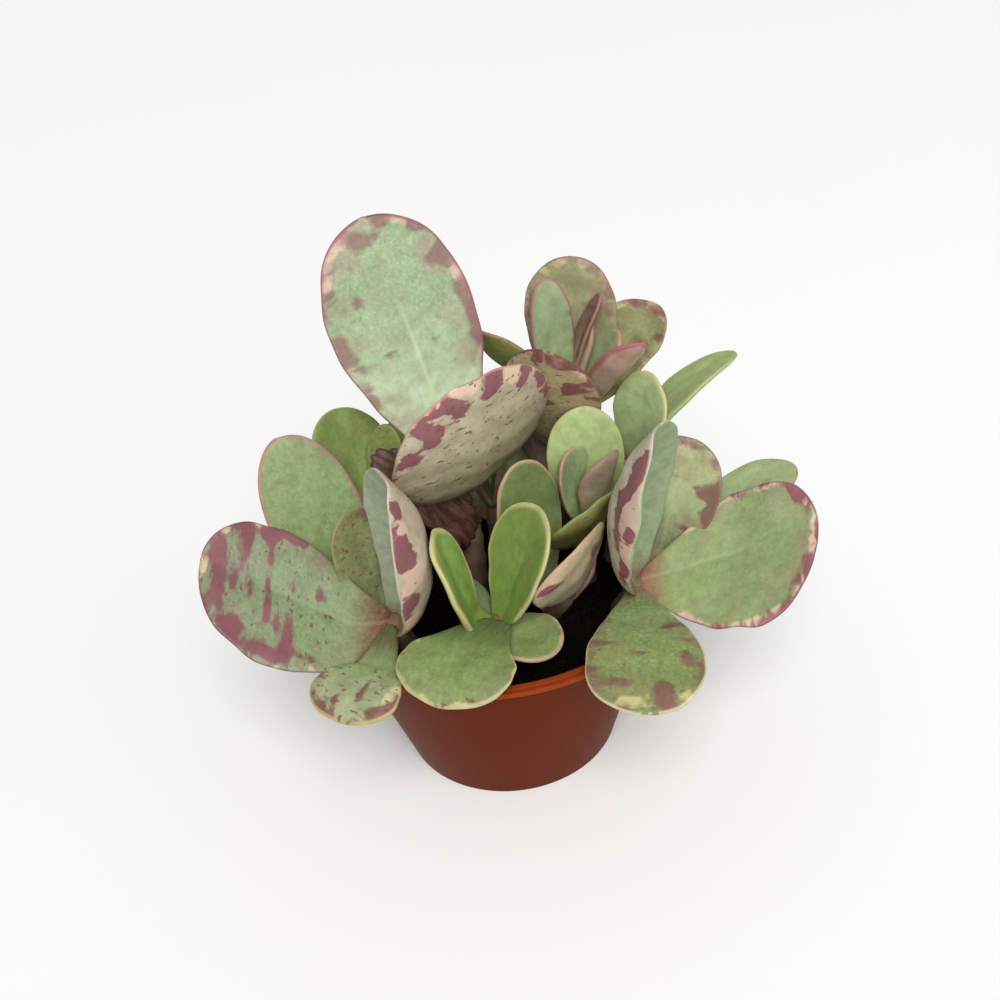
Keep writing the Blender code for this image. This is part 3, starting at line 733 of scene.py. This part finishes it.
def grow_shoot(name, foot, path, radii, leaves):
    """Joins a stem and its leaves into one piece that replaces the solid of that name."""
    knots = np.array([(*foot, STEM_FOOT_HEIGHT), (*foot, SOIL_HEIGHT)] + path, float)
    number = len(name) + sum(name.encode()) % 50
    grown = [stem_surface(knots, radii, number)]
    grown += [leaf_surface(shape, knots, number + 3 * i) for i, shape in enumerate(leaves, 1)]
    starts = np.cumsum([0] + [len(points) for points, faces, values in grown])
    faces = [[start + corner for corner in face] for start, (_, part, _) in zip(starts, grown)
             for face in part]
    piece = mesh_piece(name + "_grown", np.concatenate([points for points, faces_, values in grown]),
                       faces, [stem_bark, leaf_skin])
    mesh = piece.data
    for value in grown[0][2]:
        rows = np.concatenate([values[value] for points, faces_, values in grown]).astype(np.float32)
        kind, field = ("FLOAT_COLOR", "color") if rows.shape[1] == 4 else ("FLOAT_VECTOR", "vector")
        mesh.attributes.new(value, kind, "POINT").data.foreach_set(field, rows.ravel())
    index = np.ones(len(mesh.polygons), np.int32)
    index[:len(grown[0][1])] = 0
    mesh.polygons.foreach_set("material_index", index)
    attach(piece, "root")
    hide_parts(name)
    return piece


grow_shoot("shoot_tall", foot=(-6, 2), path=[(-6, 4, 60), (-6, 9, 76), (-6, 11, 86)],
           radii=(4.2, 3.4), leaves=[
    leaf((-5.5, 13, 84), 158, 77, 77, 40, turn=62, cup=0.1, bow=0, wave=1.2, wedge=0.95, lean=0.04,
         ripple=0.009, top="98AE86", top_root="DEECC6", line="96586C", line_width=0.75, marks=(0.48, 0.12),
         band=4.5, soft=0.15, opaque=0.64, veil=1.0, cream=0.42, rib=0.7, bloom=0.9, hue=0.03,
         dents=[(64, -1, 0.9, 5)],
         spots=[(71, 3, 2.2, 5, .42), (66, 7, 3, 4.5, .38), (61, 15, 2.5, 2.5, .42),
             (57, 10, 2.4, 1.8, .48), (52, 13, 3, 1.6, .42), (48, 18, 3.5, 2.4, .42), (75, -3, 2, 2, .42),
             (71, -11, 2.6, 3.5, .45), (62, -14, 3, 5, .46), (50, -17, 4.5, 3, .46),
             (44, -12, 1.3, 1.5, .42), (51, 4, 1.6, 1.5, .36), (41, 7, 1.4, 3, .38), (39, 12, 2, 3, .34),
             (34, -9, 1.4, 4.5, .4), (41, -6, 1.4, 1.2, .34), (40, -17, 5, 2, .38), (40, 16, 4, 2, .36),
             (29, 16, 5, 2, .32), (22, -14, 5, 2.4, .3), (15, 4, 4, 5, .2)],
         pale=[(72, 9, 2.2, 2.2, .5), (75, -7, 1.8, 2.8, .5), (65, 16, 3, 1.4, .4),
             (56, -17, 3, 1.6, .4)]),
    leaf((-2, 8, 80.5), -92, 62, 51, 50, turn=-31, cup=0.16, bow=-0.08, wedge=0.62, wave=0.4, lean=0.05,
         ripple=0.003, top="8FA878", under="B6AC92", under_root="958C6C", line="C0857E", line_width=0.35,
         under_marks=(0.38, 0.12), under_soft=0.03, under_cream=0.36, under_speck=0.35, band=7, hue=0.1,
         under_spots=[(45, -3, 5, 4, .5), (41, -12, 5, 3.5, .48), (37, -18, 2.5, 4, .45),
             (46, 9, 3.5, 4, .48), (40, 16, 2.4, 2.6, .42), (36, 23, 3, 2.2, .45), (27, 24.5, 3, 1.4, .42),
             (43, 20, 3, 3, .34), (30, 11, 1.3, 1.6, .36), (22, 19, 1.4, 1.5, .34),
             (28, -3, 1.2, 1.6, .34), (19, -9, 1.2, 2.2, .34), (24, -14, 1.2, 1.4, .3)],
         under_pale=[(45, 15, 3, 2.5, .6), (48, -8, 2.2, 3, .5), (50, 3, 1.8, 3, .45),
             (33, -20, 2, 2, .4)]),
    leaf((-5, 13, 76), 95, 32, 40, 30, bow=0.05, marks=(0.4, 0.22), under_marks=(0.5, 0.25)),
])


# The shoot at the back on the right is the second tallest. Its young top leaves stand up in a
# cluster, edged in pink, over a broad one whose tan underside is speckled with maroon.
grow_shoot("shoot_back_right", foot=(22, 27), path=[(22, 28, 60), (26, 29, 78), (29, 28, 93)],
           radii=(3.6, 2.8), leaves=[
    leaf((25, 28, 84.6), 178, 53.5, 46, 24, turn=-30, cup=0.3, bow=0.06, wedge=0.8, top="7F8A48",
         under="8E9152", marks=(0.4, 0.28), under_marks=(0.4, 0.28), hue=0.6),
    leaf((22.5, 25, 78), -94, 67, 47, 29, turn=25, cup=0.22, bow=-0.06, wedge=0.8, ripple=0.004,
         under="A3916C", under_root="80745A", line="6E3A38", under_marks=(0.48, 0.27), under_soft=0.04,
         under_cream=0.4, under_speck=0.36, band=5, hue=0.45,
         under_spots=[(30, -2, 1.6, 4, .4), (37, 6, 2, 2, .4), (26, 8, 2, 1.6, .36)]),
    leaf((29.5, 34, 90), 70, 82, 44.5, 27.5, bow=0, top="9C9F74", top_root="8E9A6C", marks=(0.46, 0.2),
         band=6.5, soft=0.16, opaque=0.62, veil=0.9, cream=0.42, line="8C5A55", hue=0.3, rib=0.1),
    leaf((24.6, 29, 92.6), 110, 85, 39, 13, cup=0.2, bow=0, top="93A67C", line="A5606A", line_width=0.7,
         marks=(0.4, 0.12), band=3, soft=0.12, veil=0.5, rib=0.1),
    leaf((25, 29, 94.5), 10, 66, 34, 8, cup=0.3, bow=0, thickness=2.2, top="7A5A50", under="6A4A46",
         marks=(0.4, 0.3), under_marks=(0.4, 0.3)),
    leaf((31, 30, 91), 20, 43, 37, 23.5, turn=-20, cup=0.3, bow=0, wedge=0.8, wave=0.8, lean=0.05,
         top="8F9460", marks=(0.5, 0.3), cream=0.45, band=6, soft=0.13, veil=0.8, opaque=0.8, rib=0.1),
    leaf((25.5, 27, 92.5), 30, 64, 27, 9, cup=0.2, bow=0, top="86946A", line="B98A7C", line_width=0.7,
         marks=(0.3, 0.1), rib=0.1),
    leaf((31, 25, 93), 25, 60, 25, 12.5, turn=-10, cup=0.2, bow=0, top="86946A", line="C08A7E",
         line_width=0.9, marks=(0.3, 0.1), rib=0.1),
    leaf((30, 26, 91), -48, 51, 37, 13, turn=24, cup=0.3, bow=0, wedge=1.0, under="BC9A8B",
         under_root="9A9678", line="A8535F", line_width=0.8, under_marks=(0.2, 0.1)),
    leaf((24, 31, 70), 100, 20, 46, 34, bow=0.05, wedge=0.8, marks=(0.4, 0.24)),
    leaf((21, 26, 66), -172, 75, 29, 17, turn=-40, cup=0.2, bow=0, wedge=0.8, under="7E5552", top="7A5350",
         marks=(0.4, 0.3), under_marks=(0.4, 0.3), hue=0.1),
])


# The low middle shoot on the right carries one glossy, almost round, plain green leaf, the
# young pair that is opening in front of it, and a low cupped one that shows its olive underside.
grow_shoot("shoot_middle", foot=(27, 3), path=[(26, 3, 56), (27, 2, 70)], radii=(3.0, 2.4), leaves=[
    # The very dark top_root of this leaf is painted shade: the blade is painted darker towards its stalk,
    # where shade falls.
    leaf((27.8, 3.3, 68), 60, 84, 36, 21.5, turn=-26, bow=0.03, wedge=0.85, top="A8BC7C",
         top_root="4E6A2C", marks=(0.15, 0.1), line="B3A674", line_width=0.5, bloom=0.15, rib=0, cream=0.1,
         speck=0.1),
    leaf((26.5, 1.8, 70), 125, 86, 23.5, 16, cup=0.3, bow=0, wedge=0.8, top="86966A", line="B98A80",
         line_width=0.6, marks=(0.22, 0.12), rib=0.05),
    leaf((29, 0, 69.5), -18, 74, 25, 15, turn=26, cup=0.35, bow=0, wedge=1.0, under="A6957E",
         under_root="918468", line="A7766C", under_marks=(0.2, 0.1)),
    leaf((27, 1.2, 63.7), -92, 51, 27, 25, turn=-32, cup=0.25, bow=-0.04, wedge=0.7, top="7C9A50",
         under="9A9852", under_root="7E7E40", under_marks=(0.34, 0.22), under_speck=0.36, line="8F9A5A",
         line_width=1.2, hue=0.9),
])


# The far right shoot is slim, with an upright green leaf edged in yellow and a long narrow one
# that reaches out to the right.
grow_shoot("shoot_far_right", foot=(36, 13), path=[(39, 14, 60), (44, 15, 80)], radii=(3.0, 2.4), leaves=[
    leaf((45.2, 14, 78.5), 40, 80, 28.5, 19, cup=0.2, bow=0, wedge=0.7, top="B2C68E", line="C6C284",
         line_width=1.1, marks=(0.38, 0.1), band=3, hue=0.7, rib=0.05),
    leaf((44.6, 16.5, 81), 22, 33, 41, 20, turn=18, cup=0.1, bow=0.08, top="A6B870", line="9DAE72",
         line_width=0.8, marks=(0.12, 0.08), rib=0.1),
    leaf((38, 16, 60), 55, 7, 42, 30, bow=0.05, wedge=0.8, marks=(0.4, 0.22)),
])


# The right shoot is low and spreads its broad leaves over the rim. Its inner leaf stands on
# edge and is cupped, so that its pale margin and the maroon band beneath it face the front.
grow_shoot("shoot_right", foot=(35, -13), path=[(37, -15, 52), (39, -17, 60)], radii=(3.6, 3.2), leaves=[
    leaf((37.2, -20, 57), 154, 98.5, 55.5, 37, cup=0.57, bow=-0.145, ripple=0.004, top="8FA27E",
         top_root="879B75", under="C9C2AE", under_root="C0B79F", line="CFC6B8", line_width=0.5,
         under_marks=(0.16, 0.14), under_soft=0.04, under_cream=0.3, under_speck=0.3, band=7, hue=0.0,
         under_spots=[(51, 10, 5, 4, .6), (43, 12, 5, 3.4, .6), (45, 15, 2, 1.2, -.4),
             (36, 10, 5, 2.2, .6), (37, 14, 3.6, 1.4, -.5), (33, 16, 4, 1.8, .56), (28, 12, 4, 3.4, .62),
             (20, 14, 3, 3, .6), (14, 11, 3.4, 2.6, .58), (7, 8, 3.4, 2.4, .58), (24, 6, 3, 1.2, .46),
             (32, 5, 2, 1.1, .4)],
         under_pale=[(48, 14, 5, 3, .6), (38, 14, 5, 3.4, .66), (28, 14, 6, 3.6, .62), (17, 13, 5, 3, .6),
             (8, 10, 3, 2, .5)]),
    leaf((44.6, -12.2, 56.6), 49, 61, 41, 29, turn=-12, cup=0.2, bow=0, wedge=1.0, lean=0.1, top="ADB686",
         top_root="5F6B40", marks=(0.5, 0.14), soft=0.12, opaque=0.8, veil=1.0, cream=0.36, band=6,
         line="8F6458", hue=0.45, rib=0.1,
         spots=[(27, -8, 1.8, 4.5, .5), (22, -11, 4, 1.6, .46), (30, 0, 1.4, 3.5, .46),
             (16, -5, 1.6, 2.4, .42), (20, 9, 2.4, 2.4, .36)]),
    leaf((40.5, -18, 60.5), -4, 17, 49, 39, turn=-30, cup=0.12, bow=0, wedge=0.95, wave=0.7, lean=-0.15,
         skew=-0.3, ripple=0.01, top="82925E", top_root="92A56C", line="7E4250", line_width=0.5,
         marks=(0.56, 0.12), rib=0.12, cream=0.64, band=4.4, stalk="9C6B58", hue=0.06, bloom=0.25,
         veil=0.6, speck=0.14,
         spots=[(38, -6, 4, 1, .3), (36, 8, 5, 1.2, .3), (24, -10, 2, 1.4, .3), (43, 12, 2, 3, .3)]),
    leaf((41, -13, 61.8), 24, 16, 54, 20, bow=0, wedge=1.0, top="A0B07E", marks=(0.15, 0.1), rib=0.1),
    leaf((38, -19, 58), -95, -1, 47, 30.5, cup=0.1, bow=0.06, wedge=1.25, wave=0.4, top="7D8F50",
         top_root="778A52", line="C9BF9A", line_width=0.5, marks=(0.5, 0.22), cream=0.28, speck=0.28,
         soft=0.14, opaque=0.75, bloom=0.5, band=4.5, veil=0.7, rib=0,
         spots=[(25, -8, 1.4, 4.5, .42), (20, 8, 1.2, 4, .38), (29, -1, 1, 4, .36), (31, 10, 2, 2, .36),
             (38, -6, 2, 6, .4), (41, 4, 3.5, 2, .46)],
         pale=[(43, -2, 2.4, 6, .55), (43, 9, 2, 3, .4)]),
])


# The left shoot spreads widest. Its front leaf stands on edge like a cup, and the outer one is
# streaked across with dark purple.
grow_shoot("shoot_left", foot=(-27, -17), path=[(-28, -20, 52), (-29, -22, 60)], radii=(4.0, 3.2), leaves=[
    leaf((-31.5, -27.3, 58.6), 167, 29, 53, 36, turn=29, skew=0.26, cup=0.1, bow=0.02, wedge=0.8, wave=1.0,
         lean=0.1, ripple=0.008, top="7A8A66", top_root="829264", line="7E4250", stalk="7B4A3E",
         marks=(0.43, 0.29), soft=0.1, cream=0.36, speck=0.34, band=4.5, hue=0.2, bloom=0.35, rib=0.1,
         veil=0.6,
         spots=[(41, -8, 1.6, 8, .42), (34.6, -8, 1.3, 5.5, .42), (29, -15, 4, 1.4, .44),
             (49, -3, 2, 5, .46), (47, 5, 2.4, 6, .44), (41, 13, 3.4, 2.4, .42), (31, 16.5, 5, 1.6, .42),
             (38, 3, 1.3, 4, .42), (33, 5, 1.2, 3.4, .4), (27, -2, 1.3, 2.4, .38), (26, 11, 1.4, 4.5, .42),
             (20, -4, 1.2, 2, .34), (46, -14, 3, 2, .44), (22, 14, 3.4, 1.2, .38), (37, -13, 3.4, 1.8, .4),
             (34, -1, 1, 2.6, .4), (30, 8, 1, 2, .38), (43, 2, 1, 3, .38)],
         pale=[(52, 1, 1.3, 2, .6), (48, -10, 1.2, 1.4, .5), (37, -17, 2, 1.2, .42)]),
    leaf((-27, -25, 56), 15, 87, 52, 38, cup=0.62, bow=-0.17, ripple=0.004, top="A2AC94",
         top_root="96A286", under="C6B49E", under_root="A8978A", line="D8CCC2", line_width=0.35,
         marks=(0.26, 0.3), under_marks=(0.24, 0.14), under_soft=0.03, under_cream=0.3, under_speck=0.28,
         band=7, hue=0.0,
         under_spots=[(38, -15, 6, 3.6, .6), (20, -15.5, 5.4, 4, .62), (7, -9.5, 3.8, 2.6, .58),
             (47, -9, 3, 2.6, .46), (31, -9, 2, 1.5, .4), (14, -7, 1.6, 1.2, .36)],
         under_pale=[(43, -12, 3, 3, .56), (29, -13, 4, 4.5, .66), (13, -11, 3, 4, .6),
             (22, -8, 5, 2.4, .45)]),
    leaf((-38, -7.5, 51), 152, 74, 60, 26, turn=42, cup=0.12, bow=0, wedge=0.8, wave=0.7, top="889C68",
         top_root="829A50", line="B07678", line_width=0.9, marks=(0.32, 0.1), soft=0.1, cream=0.22,
         band=2.6, veil=0.4, hue=0.3, bloom=0.4, rib=0.05),
    leaf((-31.5, -11, 54), 172, 82, 36.5, 20, turn=45, cup=0.12, bow=0, wedge=0.8, top="7E8454",
         marks=(0.42, 0.34), speck=0.36, line="8F8A5C", hue=0.85, soft=0.1, opaque=0.75, veil=0.5,
         rib=0.05),
    # This leaf's olive brown stalk is partly its own colour and partly painted shade, darkened to stand
    # for the shaded gap around it.
    leaf((-30.6, -36.2, 56.4), -117, 2.5, 23, 25, cup=0.0, bow=0.17, wedge=1.05, lean=-0.07, top="9CA67C",
         stalk="5F5A3A", line="B5A56A", marks=(0.46, 0.24), cream=0.4, speck=0.36, opaque=0.85, band=4,
         bloom=0.25, rib=0, pale=[(18, 9, 7, 1.6, .5)],
         spots=[(18, -4, 4, 1, .36), (14, 2, 5, 1, .34), (20, 10, 3, 2, .4)]),
])


# The front shoot is the lowest: two bright young leaves stand up, edged in cream, over broad
# ones that lie on the rim.
grow_shoot("shoot_front", foot=(0, -22), path=[(0, -23, 52), (0, -24, 58)], radii=(3.0, 2.4), leaves=[
    leaf((-6, -34.5, 61.3), -116, -4, 25, 32, cup=0.1, bow=0.07, wedge=0.7, top="82955A",
         top_root="748A48", stalk="5E6A38", line="B9B286", line_width=0.6, marks=(0.48, 0.1), cream=0.48,
         band=2.8, soft=0.05, rib=0, speck=0.18),
    leaf((-6.5, -26.5, 54.5), 170, 76.5, 36, 19.5, cup=0.25, bow=0, top="84A04E", top_root="76923F",
         stalk="7A9040", line="C9C188", line_width=1.5, marks=(0.12, 0.08), bloom=0.08, rib=0, speck=0.1),
    leaf((0.6, -25, 55.3), 28, 66, 37, 25, cup=0.25, bow=0, wedge=1.0, top="7A9548", top_root="708C3E",
         stalk="7A9040", line="C5BE8C", line_width=1.3, marks=(0.12, 0.08), bloom=0.08, rib=0.05,
         speck=0.12),
    leaf((-1.5, -25.5, 54.8), -42, 8, 21.5, 19.5, bow=0.05, wedge=0.55, top="778A4E", stalk="6A7040",
         line="B89C80", line_width=0.8, marks=(0.42, 0.12), cream=0.44, band=2.4, hue=0.3, rib=0),
    leaf((-2, -20, 51), 150, 60, 18, 10, wedge=0.8, top="67784C", marks=(0.2, 0.12), rib=0),
])


# A small shoot between the middle and the right one, with plain young leaves and one that
# turns over to show a cream underside.
grow_shoot("shoot_front_right", foot=(15, -10), path=[(18, -12, 52), (21, -13, 58)],
           radii=(3.0, 2.4), leaves=[
    leaf((12, -4.5, 51.3), 115, 86, 43, 20, cup=0.1, bow=0, wedge=0.8, top="6E8048", line="BE9A82",
         line_width=0.8, marks=(0.15, 0.08), rib=0.05, bloom=0.15),
    leaf((21.4, -14, 57), -90, 58, 30, 29, turn=-42, cup=0.2, bow=-0.03, wedge=0.8, under="C2B48E",
         under_root="A39F88", line="C29C80", line_width=0.5, under_marks=(0.34, 0.2), under_soft=0.05,
         under_cream=0.4, stalk="989082", hue=0.0,
         under_spots=[(19, 6, 4, 3.5, .46), (12, 10, 4, 2, .4), (22, -8, 3, 4, .4)],
         under_pale=[(17, 3, 5, 4, .6), (9, 8, 4, 3, .6), (21, -10, 4, 3, .5)]),
    leaf((20, -10, 52), 10, 58, 16, 13, cup=0.2, bow=0, top="4F6A3C", marks=(0.1, 0.1), rib=0),
])


# Three shoots stand at the back and the left, where few of their leaves are seen from the front.
# They carry the same mottled leaves, plainer where they are young.
grow_shoot("shoot_back_left", foot=(-25, 4), path=[(-27, 4, 58), (-29, 3, 74)], radii=(3.2, 2.6), leaves=[
    leaf((-29.5, 4, 72), 124, 60, 38, 25, cup=0.12, bow=0, wedge=0.7, top="748644", top_root="87974C",
         line="9B9E64", marks=(0.12, 0.08), bloom=0.2, rib=0.05),
    leaf((-28, 6, 74), 70, 74, 29, 11, cup=0.3, bow=0, top="6F7C36", line="7E8A4A", marks=(0.1, 0.1),
         rib=0),
    leaf((-28, 7, 56), 155, 14, 42, 32, cup=0.12, bow=0.05, wedge=0.8, marks=(0.42, 0.24)),
])
grow_shoot("shoot_back", foot=(2, 27), path=[(2, 29, 52), (2, 30, 62)], radii=(3.2, 2.6), leaves=[
    leaf((2, 32, 54), 92, 14, 46, 36, cup=0.12, bow=0.05, wedge=0.8, marks=(0.45, 0.24)),
    leaf((4, 31, 58), 45, 26, 30, 22, bow=0.05, wedge=0.8),
    leaf((3, 31, 60), 0, 79, 30, 20, cup=0.2, bow=0, wedge=0.8),
    leaf((1, 31, 60), 180, 68, 26, 18, cup=0.2, bow=0, wedge=0.8),
])
grow_shoot("shoot_rear_left", foot=(-22, 26), path=[(-23, 28, 52), (-23, 28, 60)],
           radii=(3.2, 2.6), leaves=[
    leaf((-24, 30, 57), 128, 13, 44, 34, cup=0.12, bow=0.05, wedge=0.8, marks=(0.45, 0.24)),
    leaf((-25, 28, 57), 182, 46, 34, 26, cup=0.12, bow=0, wedge=0.8),
    leaf((-22, 29, 58), 80, 56, 34, 26, bow=0, wedge=0.8),
])


# One old leaf of the tall shoot has dried on the stem: a shrunken, wrinkled brown husk,
# kept as its own piece.
husk_knots = np.array([(-6, 2, 38), (-6, 2, 47.5), (-6, 4, 60), (-6, 9, 76), (-6, 11, 86)], float)
husk_shape = leaf((-5, 4, 66), -175, 54, 41, 16, turn=45, cup=0.3, bow=0.06, wedge=0.5, thickness=6)
husk_points, husk_faces, husk_values = leaf_surface(husk_shape, husk_knots, 7)
husk_flat = husk_values["flat"]
folds = (np.sin(husk_flat[:, 1] * 2.4 + 0.9 * np.sin(husk_flat[:, 0] * 0.35)) * 0.35
         + np.sin(husk_flat[:, 0] * 0.9 + husk_flat[:, 1] * 1.3) * 0.25)
husk_middle = husk_points.mean(0)
outwards = husk_points - husk_middle
outwards = outwards / np.maximum(np.linalg.norm(outwards, axis=1)[:, None], 1e-6)
husk_points = husk_points + outwards * folds[:, None]

dry_husk, tree, surface = new_material("dried leaf skin")
flat_place = add(tree, "Attribute", attribute_name="flat")["Vector"]
lengthwise = add(tree, "Mapping", {"Vector": flat_place, "Scale": (0.25, 1.0, 1.0)})["Vector"]
creases = add(tree, "TexNoise", {"Vector": lengthwise, "Scale": 0.5, "Detail": 5.0, "Roughness": 0.65,
                                 "Distortion": 0.8})["Fac"]
husk_shade = add(tree, "MapRange", {"Value": creases, "From Min": 0.35, "From Max": 0.7})["Result"]
husk_tint = add(tree, "Mix", {"Factor": husk_shade, 6: colour("24110C"), 7: colour("70493A")},
                data_type="RGBA")[2]
relief = add(tree, "Bump", {"Height": creases, "Strength": 0.9, "Distance": 0.0007})["Normal"]
fill(surface, {"Base Color": husk_tint, "Normal": relief, "Roughness": 0.45})
husk = mesh_piece("dried_leaf", husk_points, husk_faces, [dry_husk])
husk.data.attributes.new("flat", "FLOAT_VECTOR", "POINT").data.foreach_set("vector", husk_flat.ravel())
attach(husk, "root")
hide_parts("shoot_tall")
